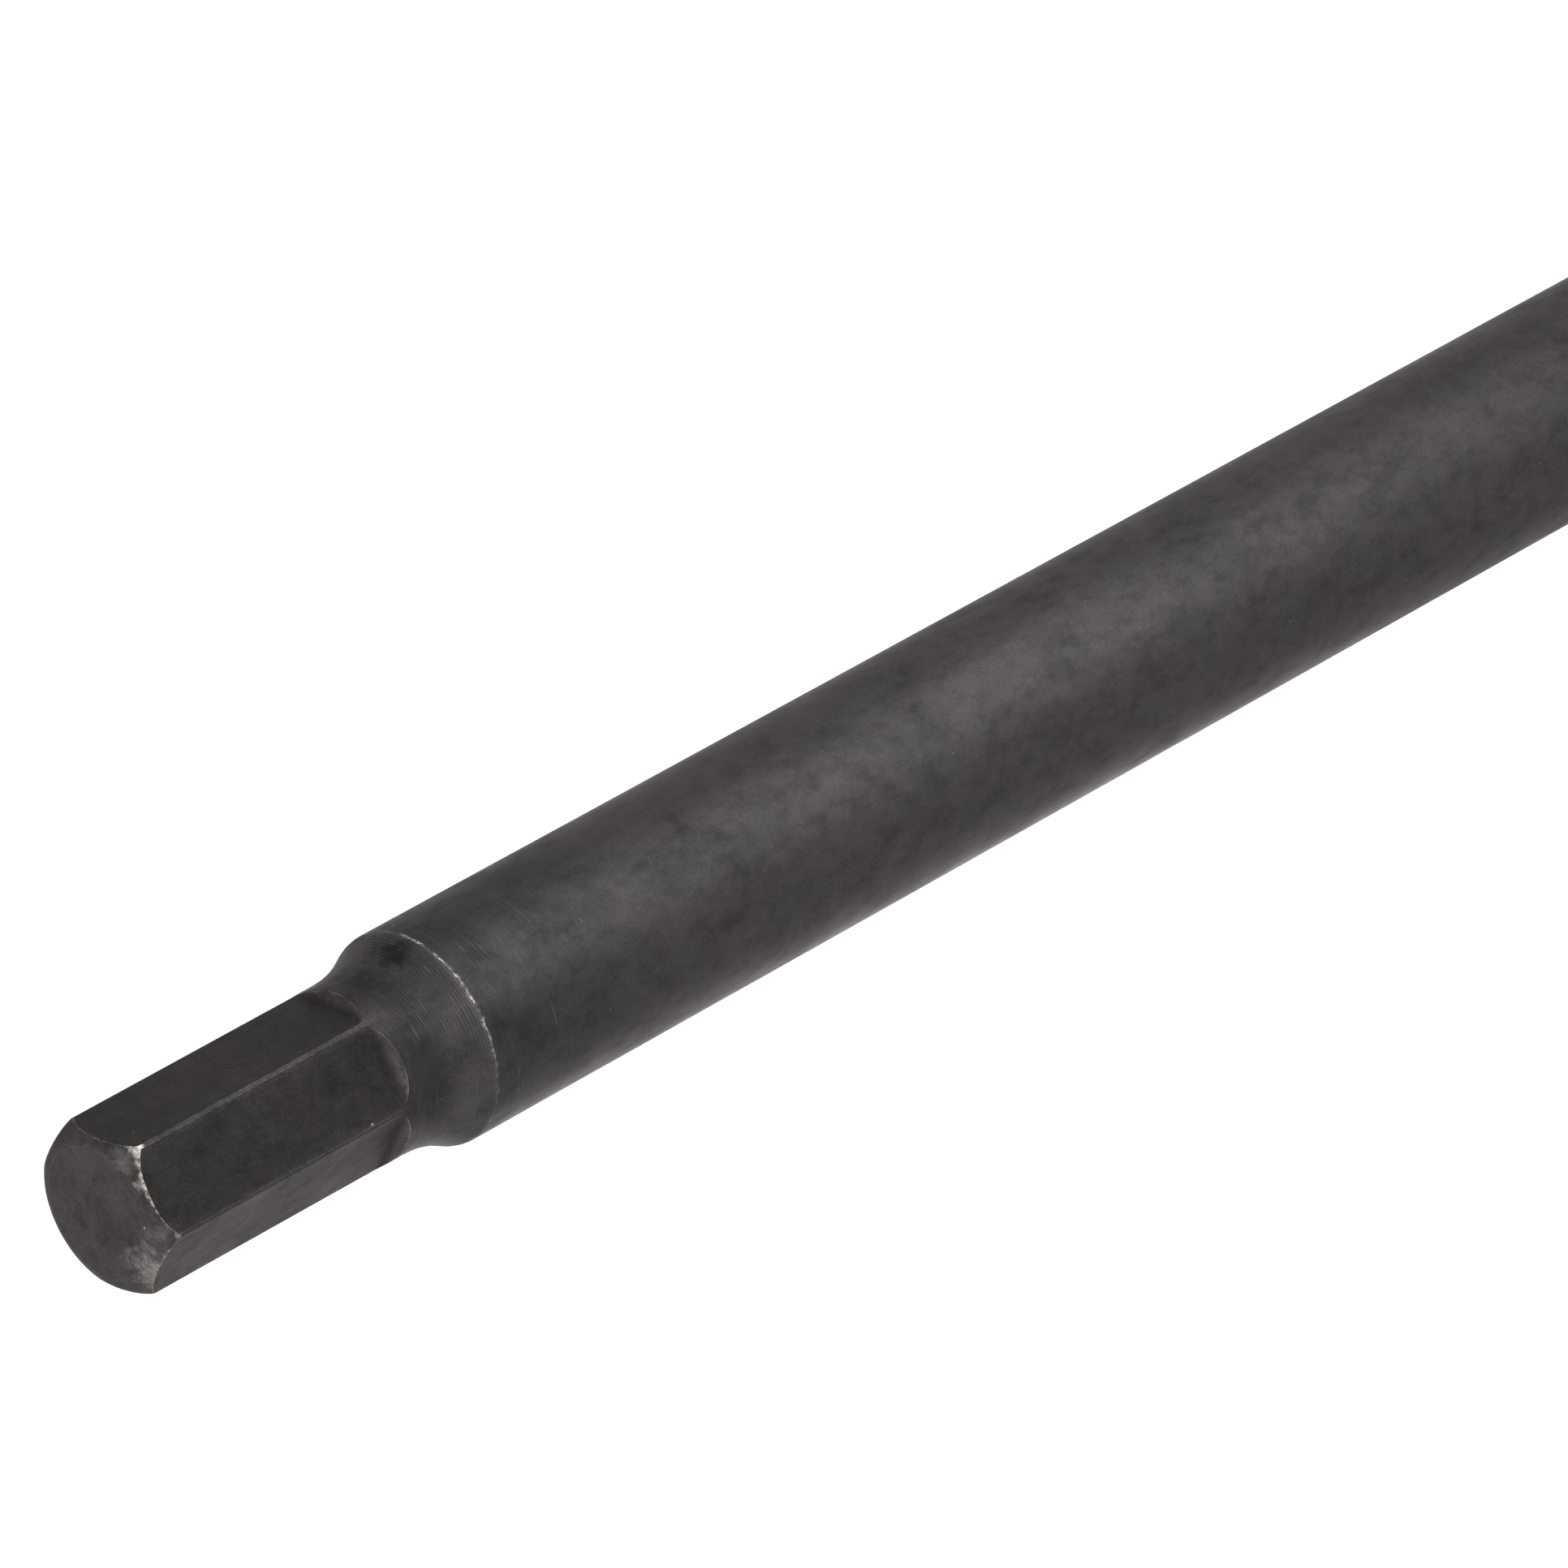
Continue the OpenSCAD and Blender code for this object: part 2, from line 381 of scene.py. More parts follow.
# %% Group: lathe measures
tree, given, made = new_group(
    "lathe measures", {"Position": "v"},
    {"Place": "v", "Radius": "f", "Height": "f", "Bearing": "f", "To Flat": "f", "Across": "f"})
place = scaled(tree, given["Position"], 1 / MM)
x, y, z = parts_of(tree, place)
radius = root(tree, times(tree, x, x), times(tree, y, y))
bearing = calc(tree, "ARCTAN2", y, x)
folded = calc(tree, "WRAP", bearing, math.radians(30), math.radians(-30))
lathe = close_group(tree, made, {
    "Place": place, "Radius": radius, "Height": z, "Bearing": bearing,
    "To Flat": times(tree, radius, calc(tree, "COSINE", folded)),
    "Across": times(tree, radius, calc(tree, "SINE", folded))})

# %% [markdown]
# A turned surface faces straight out from its axis, never sideways round it. The mesh's own
# normals lean sideways a little along the line where a turned face closes on itself, which would
# show as a crease of light. The imported mesh is kept as it is, so this group takes the sideways
# part out of the normal instead.

# %% Group: turned normal
SMALLEST_R = 0.001

tree, given, made = new_group(
    "turned normal", {"Place": "v", "Radius": "f", "Normal": "v", "Share": "f"}, {"Normal": "v"})
x, y = parts_of(tree, given["Place"])[:2]
normal_x, normal_y, normal_z = parts_of(tree, given["Normal"])
safe_radius = most(tree, given["Radius"], SMALLEST_R)
out_x = calc(tree, "DIVIDE", x, safe_radius)
out_y = calc(tree, "DIVIDE", y, safe_radius)
outward = total(tree, times(tree, normal_x, out_x), times(tree, normal_y, out_y))
straight = triple(tree, times(tree, outward, out_x), times(tree, outward, out_y), normal_z)
to_world = tree.nodes.new("ShaderNodeVectorTransform")
to_world.vector_type = "NORMAL"
to_world.convert_from, to_world.convert_to = "OBJECT", "WORLD"
put(tree, blend(tree, given["Share"], given["Normal"], straight, "Vector"), to_world.inputs[0])
turned_normal = close_group(tree, made, {"Normal": to_world.outputs[0]})

# %% [markdown]
# Black phosphate is a bath-grown skin of fine crystals. It isn't one black: it clouds
# from warm brown to cool grey over a few millimetres, has soft darker stains, and a grain
# that only shows close up. One noise could give clouds, but three of different sizes keep
# them from looking like one cloth. The same stains change the roughness, which frays the
# edge of every highlight on it. The clouds are drawn out along the bar.

# %% Group: black phosphate
DRAWN_OUT = (1.0, 1.0, 0.62)

tree, given, made = new_group(
    "black phosphate", {"Place": "v", "Warm": "c", "Cool": "c", "Cloud Size": "f", "Stain": "f"},
    {"Color": "c", "Tone": "f", "Roughness": "f", "Grain": "f"})
drawn_out = vector_calc(tree, "MULTIPLY", given["Place"])
drawn_out.inputs[1].default_value = DRAWN_OUT
room = scaled(tree, drawn_out.outputs[0], calc(tree, "DIVIDE", 1.0, given["Cloud Size"]))
cloud = noise(tree, room, 1.0, detail=4.0, rough=0.62, seed=0.4)
stains = noise(tree, room, 2.6, detail=5.0, rough=0.62, seed=3.7)
blotch = noise(tree, room, 0.70, detail=3.0, rough=0.55, seed=6.2)
grain = noise(tree, given["Place"], 7.0, detail=4.0, rough=0.7, seed=9.1)
tint = blend(tree, fade(tree, cloud, 0.28, 0.72), given["Warm"], given["Cool"])
darkening = times(tree, given["Stain"], total(tree, fade(tree, stains, 0.40, 0.80, 0.0, 0.8),
                                          fade(tree, blotch, 0.48, 0.74, 0.0, 0.35)))
tone = times(tree, rest_of(tree, darkening), fade(tree, grain, 0.25, 0.75, 0.80, 1.20))
roughness = total(tree, fade(tree, cloud, 0.3, 0.7, -0.05, 0.05), times(tree, darkening, 0.16))
phosphate = close_group(tree, made, {
    "Color": scaled(tree, tint, tone), "Tone": tone, "Roughness": roughness, "Grain": grain})

# %% [markdown]
# A turning tool leaves a fine screw thread, one groove a turn, and rougher rings where it
# chattered. Modelled grooves would take a million faces, so they are a height for bump.
# The rings fade in and out where the skin is thicker. The group also gives a mask of thin
# arcs, rubbed bright by handling.

# %% Group: turning marks
tree, given, made = new_group(
    "turning marks", {"Place": "v", "Height": "f", "Bearing": "f", "Pitch": "f"},
    {"Groove": "f", "Arc": "f"})
wander = noise(tree, given["Place"], 0.35, detail=2.0, rough=0.5, seed=1.1)
turns = total(tree, calc(tree, "DIVIDE", given["Height"], given["Pitch"]),
              times(tree, wander, 2.0))
thread = calc(tree, "SINE", times(tree, turns, 2 * math.pi))
ring_x = times(tree, calc(tree, "COSINE", given["Bearing"]), 0.9)
ring_y = times(tree, calc(tree, "SINE", given["Bearing"]), 0.9)
rings = noise(tree, triple(tree, ring_x, ring_y, times(tree, given["Height"], 3.0)),
              1.0, detail=4.0, rough=0.75, seed=1.3)
arcs = noise(tree, triple(tree, times(tree, ring_x, 2.2), times(tree, ring_y, 2.2),
                          times(tree, given["Height"], 7.0)),
             1.0, detail=3.0, rough=0.65, seed=4.3)
thin = noise(tree, given["Place"], 0.5, detail=3.0, rough=0.6, seed=5.5)
patch = fade(tree, thin, 0.36, 0.62, 0.1, 1.0)
groove = total(tree, times(tree, thread, 0.30), times(tree, minus(tree, rings, 0.5), 2.4))
turning = close_group(tree, made, {
    "Groove": times(tree, patch, groove),
    "Arc": times(tree, patch, fade(tree, arcs, 0.58, 0.72))})

# %% [markdown]
# Edges rub bare first. Given how far a point is from an edge, in millimetres, this group
# says how bare it is. A plain limit would draw a line of one width, as a pen does. Noise
# moves the limit in and out, so the line breaks up and swells as a rubbed edge does.

# %% Group: edge wear
SMALLEST_WIDTH = 0.0005

tree, given, made = new_group(
    "edge wear", {"Place": "v", "Distance": "f", "Width": "f", "Break": "f", "Amount": "f"},
    {"Bare": "f"})
ragged = noise(tree, given["Place"], 2.2, detail=4.0, rough=0.7, seed=2.2)
swell = fade(tree, ragged, 0.30, 0.70, rest_of(tree, given["Break"]),
             total(tree, 1.0, given["Break"]))
limit = most(tree, times(tree, given["Width"], swell), SMALLEST_WIDTH)
bare = rest_of(tree, fade(tree, given["Distance"], 0.0, limit))
wear = close_group(tree, made, {"Bare": times(tree, bare, given["Amount"])})


def worn_line(tree, spot, distance, width, ragged, amount):
    """How bare the steel is near an edge. Ragged is zero for an even line."""
    return place_group(tree, wear, {"Place": spot, "Distance": distance, "Width": width,
                                    "Break": ragged, "Amount": amount})["Bare"]


# %% [markdown]
# Handling leaves tiny bright nicks and dust. They are the cells of a Voronoi pattern
# whose centres lie close to the surface, because noise alone has no sharp round spots. A
# coarse noise thins them, so that they come in loose flocks.

# %% Group: nicks
tree, given, made = new_group("nicks", {"Place": "v", "Size": "f"}, {"Nick": "f"})
cells = tree.nodes.new("ShaderNodeTexVoronoi")
cells.inputs["Scale"].default_value = 0.9
put(tree, given["Place"], cells.inputs["Vector"])
flock = noise(tree, given["Place"], 0.4, detail=2.0, rough=0.5, seed=7.7)
size = most(tree, times(tree, given["Size"], fade(tree, flock, 0.42, 0.70)), SMALLEST_WIDTH)
nicks = close_group(tree, made, {"Nick": rest_of(tree, fade(
    tree, cells.outputs["Distance"], times(tree, size, 0.4), size))})

# %% [markdown]
# Scratches on a flat run in one direction, as the dressing wheel left them. Lines drawn
# one by one would be even and would repeat. So the group takes two measures along the
# surface, turns them by a slant, and reads a noise that is squeezed across the scratch
# and stretched along it.

# %% Group: scratches
tree, given, made = new_group(
    "scratches", {"Along": "f", "Across": "f", "Slant": "f", "Per mm": "f"}, {"Scratch": "f"})
slant_cos = calc(tree, "COSINE", given["Slant"])
slant_sin = calc(tree, "SINE", given["Slant"])
run = minus(tree, times(tree, given["Along"], slant_cos),
            times(tree, given["Across"], slant_sin))
side = total(tree, times(tree, given["Along"], slant_sin),
             times(tree, given["Across"], slant_cos))
lines = noise(tree, triple(tree, times(tree, run, 0.45), times(tree, side, given["Per mm"]),
                           0.0), 1.0, detail=4.0, rough=0.7, seed=8.8)
scratches = close_group(tree, made, {"Scratch": fade(tree, lines, 0.50, 0.68)})

# %% [markdown]
# The landmarks below are the bit's own sizes in millimetres, measured up from the drive
# face. Every pattern that follows a real edge is placed by them, so a worn line lies on
# the edge and nowhere else. The tip's chamfer is slightly domed, and its arc's centre
# follows from its two ends and its radius.

# %% Bit: sizes
TOOL_TOP = 200.0
HEX_HALF = 5.0
NECK_R = 5.7
SHOULDER_Z = 174.0
NECK_Z = 178.75
TIP_FACE_R = 4.325
TIP_CHAMFER = 1.15
CROWN_R = 2.1
ROOT_CLEAR_Z = 47.5
STRIP_ACROSS = math.sqrt(NECK_R ** 2 - HEX_HALF ** 2)

chord_r = NECK_R - TIP_FACE_R
chord = math.hypot(chord_r, TIP_CHAMFER)
crown_back = math.sqrt(CROWN_R ** 2 - (chord / 2) ** 2)
crown_mid_r = (NECK_R + TIP_FACE_R) / 2 - crown_back * TIP_CHAMFER / chord
crown_mid_z = TOOL_TOP - TIP_CHAMFER / 2 - crown_back * chord_r / chord
print("crown of the tip chamfer is centred at", round(crown_mid_r, 3), round(crown_mid_z, 3))

# %% [markdown]
# The bit's steel is one material, because the bit is one bar. First come the distances
# from its edges and faces. The solid's round faces are made of flat facets that dip a
# little under the true circle, so a point counts as on a face within that dip.

# %% Bit steel: distances
FACET_DIP = 0.018
CROWN_DIP = 0.02

bit_steel, tree, shader, own = fresh_material("worn black bit steel")
here = place_group(tree, lathe, {"Position": own["Object"]})
spot, radius, height, bearing, to_flat, across = (
    here[label] for label in ("Place", "Radius", "Height", "Bearing", "To Flat", "Across"))

crown_run = minus(tree, radius, crown_mid_r)
crown_rise = calc(tree, "SQRT", most(tree, 0.0, minus(
    tree, CROWN_R ** 2, times(tree, crown_run, crown_run))))
below_crown = minus(tree, total(tree, crown_mid_z, crown_rise), height)
off_crown = most(tree, 0.0, minus(tree, below_crown, CROWN_DIP))
off_flat = most(tree, 0.0, minus(tree, HEX_HALF, to_flat))
off_neck = most(tree, 0.0, minus(tree, NECK_R - FACET_DIP, radius))
off_strip = apart(tree, calc(tree, "ABSOLUTE", across), STRIP_ACROSS)
behind = minus(tree, SHOULDER_Z, height)
off_shoulder = calc(tree, "ABSOLUTE", behind)
print("bit steel: distances take", len(tree.nodes), "nodes")

# %% [markdown]
# Masks made from the distances tell the faces apart: the end, the chamfer, the cut flats
# with their run-outs, the uncut strips between them, the neck and the shoulder's hollow.
# Painting the masks would be quicker, but a painted border can't lie exactly on an edge.

# %% Bit steel: faces
END_BAND = 0.003
CHAMFER_BAND = 0.01
STRIP_FROM, STRIP_FULL = NECK_Z + 0.3, NECK_Z + 3.5
RUN_OUT_FADE = 0.40
HOLLOW_FROM, HOLLOW_FULL = NECK_Z - 0.9, SHOULDER_Z + 1.6

on_end = calc(tree, "GREATER_THAN", height, TOOL_TOP - END_BAND)
on_hex = calc(tree, "GREATER_THAN", height, NECK_Z)
by_chamfer = calc(tree, "GREATER_THAN", height, TOOL_TOP - TIP_CHAMFER - CHAMFER_BAND)
ahead = calc(tree, "LESS_THAN", behind, 0.0)
on_shank = calc(tree, "GREATER_THAN", behind, 0.0)
off_hex, off_end = rest_of(tree, on_hex), rest_of(tree, on_end)
off_chamfer = rest_of(tree, by_chamfer)
on_chamfer = times(tree, by_chamfer, fade(tree, off_flat, 0.0, 0.06), off_end)
uncut = times(tree, on_hex, off_chamfer, fade(tree, off_flat, 0.001, 0.006))
along_flats = fade(tree, height, STRIP_FROM, STRIP_FULL)
on_strip = times(tree, uncut, along_flats)
on_round = times(tree, on_hex, fade(tree, off_neck, FACET_DIP, 0.0),
                 fade(tree, to_flat, HEX_HALF + 0.01, HEX_HALF + 0.03))
on_neck = total(tree, on_round, times(tree, uncut, rest_of(tree, along_flats)),
                times(tree, off_hex, ahead))
on_cut = times(tree, on_hex, off_end, rest_of(tree, on_chamfer), rest_of(tree, uncut),
               rest_of(tree, on_round))
run_out = times(tree, on_cut, fade(tree, to_flat, HEX_HALF, HEX_HALF + RUN_OUT_FADE))
# The hollow is made paler in the shades below, as painted highlight.
in_hollow = times(tree, fade(tree, height, HOLLOW_FROM, HOLLOW_FULL), ahead)
print("bit steel: with masks", len(tree.nodes), "nodes")

# %% [markdown]
# Wear, edge by edge. The chamfer's outer edge is rubbed bright, most of all on the side
# where the tip has met its screw. The edges of the strips between the flats and the rims
# of the run-outs shine a little, and the ring where shoulder meets shank is bright because
# everything slides over it. A brightness that goes round with the bearing puts each worn
# side where the photograph shows it.

# %% Bit steel: worn edges
NEAR_TIP = 1.6
CROWN_STEEPNESS = 3.0


def arc_share(tree, bearing, first, full, last, gone):
    """One between two bearings in degrees, with a soft start and a soft end."""
    first, full, last, gone = (math.radians(angle) for angle in (first, full, last, gone))
    return times(tree, fade(tree, bearing, first, full), fade(tree, bearing, gone, last))


rubbed_side = arc_share(tree, bearing, -22, 8, 31, 38)
lower_side = arc_share(tree, bearing, -95, -72, -40, -30)
handled = arc_share(tree, bearing, -45, 12, 48, 80)
tip_line = times(tree, calc(tree, "GREATER_THAN", height, TOOL_TOP - NEAR_TIP), worn_line(
    tree, spot, total(tree, times(tree, off_crown, CROWN_STEEPNESS), off_flat),
    width=total(tree, 0.06, times(tree, rubbed_side, 0.14)), ragged=0.9,
    amount=total(tree, 0.20, times(tree, rubbed_side, 0.75), times(tree, lower_side, 0.35))))
strip_line = times(tree, on_hex, along_flats, off_chamfer, worn_line(
    tree, spot, off_strip, width=0.06, ragged=1.0, amount=0.05))
rim_line = times(tree, run_out, worn_line(
    tree, spot, off_neck, width=0.10, ragged=0.9, amount=0.12))
broken = fade(tree, noise(tree, spot, 1.3, detail=3.0, rough=0.6, seed=9.9), 0.38, 0.62, 0.08, 1.0)
shoulder_line = times(tree, broken, worn_line(
    tree, spot, off_shoulder, width=0.15, ragged=1.0,
    amount=total(tree, 0.10, times(tree, handled, 0.55))))
face_rim = times(tree, on_end, worn_line(
    tree, spot, minus(tree, TIP_FACE_R, radius), width=0.12, ragged=1.0, amount=0.03))
print("bit steel: with worn edges", len(tree.nodes), "nodes")

# %% [markdown]
# Rubs are patches round a point, where the tip was knocked or dragged. Each is given by
# its point, its reach in millimetres and its strength. Their outlines are frayed by noise,
# because a round spot of wear looks like a dropped disc. Rubs and edge lines then break up
# into beads, and small nicks gather at the shoulder.

# %% Bit steel: rubs and nicks
FRAY = 3.2
RUBS = [((4.92, 2.80, 199.00), 0.60, 1.00), ((4.75, 0.95, 199.65), 0.50, 0.50),
        ((4.95, -2.80, 198.95), 0.30, 0.40), ((4.30, 2.50, 199.60), 1.30, 0.16),
        ((4.10, -2.20, 199.90), 1.10, 0.06), ((2.79, -3.66, 199.90), 0.35, 0.16),
        ((1.74, -4.35, 199.80), 0.32, 0.18), ((3.68, -1.57, 200.00), 0.10, 0.70),
        ((2.30, -4.60, 199.50), 2.80, 0.30)]
DENT_ON_STRIP = ((5.0, -2.62, 183.1), 0.14, 0.30)


def patch_at(tree, spot, point, reach, strength):
    """A patch round a point in millimetres, with a ragged outline."""
    gap = vector_calc(tree, "DISTANCE", spot)
    gap.inputs[1].default_value = point
    frayed = minus(tree, noise(tree, spot, 1.3 / reach, detail=5.0, rough=0.78, seed=5.1), 0.5)
    distance = total(tree, gap.outputs["Value"], times(tree, frayed, reach * FRAY))
    return fade(tree, distance, reach, 0.0, 0.0, strength)


rubs = times(tree, rest_of(tree, on_cut), most(tree, *(patch_at(tree, spot, *r) for r in RUBS)))
rubs = most(tree, rubs, patch_at(tree, spot, *DENT_ON_STRIP))
beads = fade(tree, noise(tree, spot, 4.5, detail=3.0, rough=0.7, seed=3.3), 0.38, 0.60, 0.12, 1.0)
half_beads = total(tree, 0.50, times(tree, beads, 0.50))
near_shoulder = fade(tree, off_shoulder, 1.4, 0.2, 0.0, 0.08)
nick = times(tree, 0.30, place_group(tree, nicks, {
    "Place": spot, "Size": total(tree, 0.06, near_shoulder)})["Nick"])
worn = most(tree, times(tree, tip_line, beads), times(tree, rubs, half_beads),
            times(tree, strip_line, beads), rim_line, times(tree, shoulder_line, beads),
            face_rim, nick)
print("bit steel: with rubs", len(tree.nodes), "nodes")

# %% [markdown]
# The marks of making. The neck, the strips and the first millimetres of the shank show
# the lathe's rings, and the flats show faint scratches from the wheel that dressed them.
# The scratches' slant changes from flat to flat, because each flat was dressed by itself.
# Both patterns exist as groups already, so only their places and strengths are set here.

# %% Bit steel: marks
RING_PITCH = 0.20
RINGS_END = 14.0
RING_DEPTHS = [(on_neck, 5.0), (on_strip, 4.0)]

marks = place_group(tree, turning, {
    "Place": spot, "Height": height, "Bearing": bearing, "Pitch": RING_PITCH})
near_ring = times(tree, fade(tree, behind, RINGS_END, 0.0), on_shank)
turned = total(tree, near_ring, *(times(tree, mask, deep) for mask, deep in RING_DEPTHS))
arc = times(tree, marks["Arc"], total(tree, times(tree, on_neck, 0.05),
                                      times(tree, near_ring, 0.07)))
slant = total(tree, 0.55, times(tree, calc(tree, "SINE", times(tree, bearing, 3.0)), 0.4))
drag = times(tree, on_cut, 0.022, place_group(tree, scratches, {
    "Along": height, "Across": across, "Slant": slant, "Per mm": 6.0})["Scratch"])
rubbed_chamfer = times(tree, on_chamfer, fade(
    tree, noise(tree, spot, 1.6, detail=4.0, rough=0.65, seed=7.2), 0.42, 0.66, 0.0, 0.024))
bare = least(tree, 1.0, total(tree, worn, arc, drag, rubbed_chamfer))
print("bit steel: with marks", len(tree.nodes), "nodes")

# %% [markdown]
# Darker patches in the hollow of the shoulder and on the shank behind the ring are painted shade,
# laid where those places lie in shade. They are placed where the photograph shows them. The skin
# took differently face by face, so a table says how much darker or paler each face is than the
# shank: the flats and the neck are darker skin. The shank behind the ring is darker again as
# painted shade, and the run-outs and the hollow are paler as painted highlight.

# %% Bit steel: shades
SKIN_WARM = (0.0398, 0.0342, 0.0336, 1)
SKIN_COOL = (0.0356, 0.0354, 0.0348, 1)
# Points, reaches and strengths of the painted shade patches.
SHADE_PATCHES = [((3.15, 5.57, 175.3), 2.2, 0.60), ((6.32, -1.52, 176.4), 1.4, 0.40),
          ((6.94, -0.30, 172.6), 2.2, 0.22), ((6.70, -1.80, 171.0), 2.6, 0.22),
          ((2.60, 4.70, 178.2), 1.5, 0.40)]
# Point, reach and strength of the painted highlight on the middle flat's run-out.
HIGHLIGHT_PATCH = ((5.3, 0.5, 180.8), 2.8, 1.0)

skin = place_group(tree, phosphate, {
    "Place": spot, "Warm": SKIN_WARM, "Cool": SKIN_COOL, "Cloud Size": 3.0, "Stain": 0.42})
# Painted shade: darker patches in the shoulder's hollow and on the shank behind the ring.
painted_shade = most(tree, *(patch_at(tree, spot, *darkening) for darkening in SHADE_PATCHES))
# Painted highlight: a paler patch on the middle flat's run-out.
painted_highlight = times(tree, run_out, patch_at(tree, spot, *HIGHLIGHT_PATCH))
clouded = fade(tree, noise(tree, spot, 0.75, detail=5.0, rough=0.62, seed=2.8),
               0.34, 0.66, -1.0, 1.0)
# past_ring darkens the shank just behind the ring as painted shade, and greys it as the skin's own
# colour.
past_ring = times(tree, fade(tree, behind, 20.0, 7.0), on_shank)
grainy = minus(tree, skin["Grain"], 0.5)
# In this table the run-outs, the highlight patch and the hollow are paler as painted highlight,
# and past_ring is darker as painted shade.
SHADES = [(on_cut, -0.42), (run_out, 1.20), (painted_highlight, 1.1), (on_strip, -0.02),
          (on_end, 0.05), (on_chamfer, 0.22), (on_neck, -0.27), (in_hollow, 0.70),
          (past_ring, -0.14), (clouded, 0.07), (times(tree, on_end, grainy), 0.7),
          (times(tree, on_cut, grainy), 0.5)]
shade = times(tree, rest_of(tree, painted_shade), total(
    tree, 1.0, *(times(tree, mask, amount) for mask, amount in SHADES)))
print("bit steel: with shades", len(tree.nodes), "nodes")

# %% [markdown]
# Now the numbers go to the shader. The skin is half metal to it: phosphate over steel
# shines in the colour of the skin, where a paint would shine white. At a glancing angle
# any skin turns pale, and the specular tint holds that down to what the photograph shows.
# The end and the run-outs are browner, the neck and the shank behind the ring greyer.

# %% Bit steel: colour and shine
GRAZING = (0.58, 0.54, 0.535, 1)
BARE = (0.60, 0.58, 0.54, 1)
SKIN_METAL, BARE_METAL = 0.5, 0.45
SKIN_ROUGH, BARE_ROUGH = 0.50, -0.10
SKIN_SPECULAR = 0.06
MEAN_TONE = 0.85

uneven_tone = minus(tree, skin["Tone"], MEAN_TONE)
browned = most(tree, times(tree, on_end, 0.6), times(tree, on_chamfer, 0.2),
               times(tree, run_out, 0.9))
greyed = most(tree, times(tree, past_ring, 0.8), times(tree, on_neck, 0.4))
face_skin = blend(tree, browned, skin["Color"], scaled(tree, SKIN_WARM[:3], skin["Tone"]))
face_skin = blend(tree, greyed, face_skin, scaled(tree, SKIN_COOL[:3], skin["Tone"]))
put(tree, blend(tree, bare, scaled(tree, face_skin, shade), BARE), shader.inputs["Base Color"])
put(tree, total(tree, SKIN_METAL, times(tree, bare, BARE_METAL),
                times(tree, on_cut, uneven_tone, 0.8)), shader.inputs["Metallic"])
put(tree, total(tree, SKIN_ROUGH, skin["Roughness"], times(tree, on_cut, -0.03),
                times(tree, bare, BARE_ROUGH)), shader.inputs["Roughness"])
shader.inputs["Specular IOR Level"].default_value = SKIN_SPECULAR
shader.inputs["Specular Tint"].default_value = GRAZING
print("bit steel: with colour", len(tree.nodes), "nodes")

# %% [markdown]
# What is too fine to model tilts the light: rings, grain, scratches, nicks, and a slight
# waviness of the flats. At a glancing angle colour hardly shows, so the flats get most of
# their look from this. A mask's border would itself be a step, so the heights that a mask
# cuts off swing about zero or fade out before the rim. The edge of the end face is
# rounded the same way. Only the round bar between root and tip gets the turned normal.

# %% Bit steel: relief
SKIN_RELIEF_MM = 0.006
END_EDGE_SOFT = 0.40
RIM_CLEAR = 0.15


def give_relief(tree, shader, relief_mm, heights, normal=None):
    """Lets a sum of heights tilt the normal. A height of one is relief_mm high."""
    bump = tree.nodes.new("ShaderNodeBump")
    bump.inputs["Distance"].default_value = relief_mm * MM
    put(tree, total(tree, *heights), bump.inputs["Height"])
    if normal is not None:
        put(tree, normal, bump.inputs["Normal"])
    put(tree, bump.outputs["Normal"], shader.inputs["Normal"])


inside = fade(tree, off_neck, 0.0, RIM_CLEAR)
waves = minus(tree, noise(tree, spot, 0.9, detail=3.0, rough=0.6, seed=4.7), 0.5)
uneven = times(tree, on_cut, inside, total(
    tree, times(tree, uneven_tone, 10.0), times(tree, waves, 18.0)))
end_edge = times(tree, by_chamfer, fade(
    tree, apart(tree, radius, TIP_FACE_R), END_EDGE_SOFT, 0.0))
smooth = place_group(tree, turned_normal, {
    "Place": spot, "Radius": radius, "Normal": own["Normal"],
    "Share": times(tree, off_hex, calc(tree, "GREATER_THAN", height, ROOT_CLEAR_Z))})
give_relief(tree, shader, SKIN_RELIEF_MM, [
    times(tree, marks["Groove"], turned), times(tree, skin["Grain"], 0.9), uneven,
    times(tree, drag, inside, -70.0), times(tree, nick, -1.0),
    times(tree, end_edge, end_edge, -4.0)], smooth["Normal"])
print("bit steel has", len(tree.nodes), "nodes")

# %% [markdown]
# The body is turned from forged bar and blacked in the same bath. Its edges are rings, so
# one helper measures the distance to a ring of a given radius and height, and the wear
# follows the nearest of them. The mouth of the hexagon bore and the rim of the anvil's pin
# hole are edges too. Blender can find edges by itself with a bevel or pointiness, but both
# also mark the facets, and these distances don't.

# %% Body steel: edges
BODY_LEN = 42.0
BODY_R = 13.0
FOOT_CHAMFER = 1.0
NOSE_R = 10.75
ROOT_HALF = 7.0
MOUTH_CHAMFER = 0.5
DRIVE_LEAD_R = 8.5
PIN_Z = 31.0
GROOVE_HALF = 1.6
DRIVE_HOLE_Z = 8.0
DRIVE_HOLE_R = 2.0
DRIVE_GROOVE_HALF = 2.3
DRIVE_GROOVE_R = 11.2
RINGS = [(BODY_R, FOOT_CHAMFER), (BODY_R - FOOT_CHAMFER, 0.0), (BODY_R, PIN_Z - GROOVE_HALF),
         (BODY_R, PIN_Z + GROOVE_HALF), (NOSE_R, BODY_LEN), (DRIVE_LEAD_R, 0.0),
         (BODY_R, DRIVE_HOLE_Z - DRIVE_GROOVE_HALF), (BODY_R, DRIVE_HOLE_Z + DRIVE_GROOVE_HALF)]


def to_ring(tree, radius, height, ring_r, ring_z):
    """Distance to a ring round the axis."""
    out = minus(tree, radius, ring_r)
    up = minus(tree, height, ring_z)
    return root(tree, times(tree, out, out), times(tree, up, up))


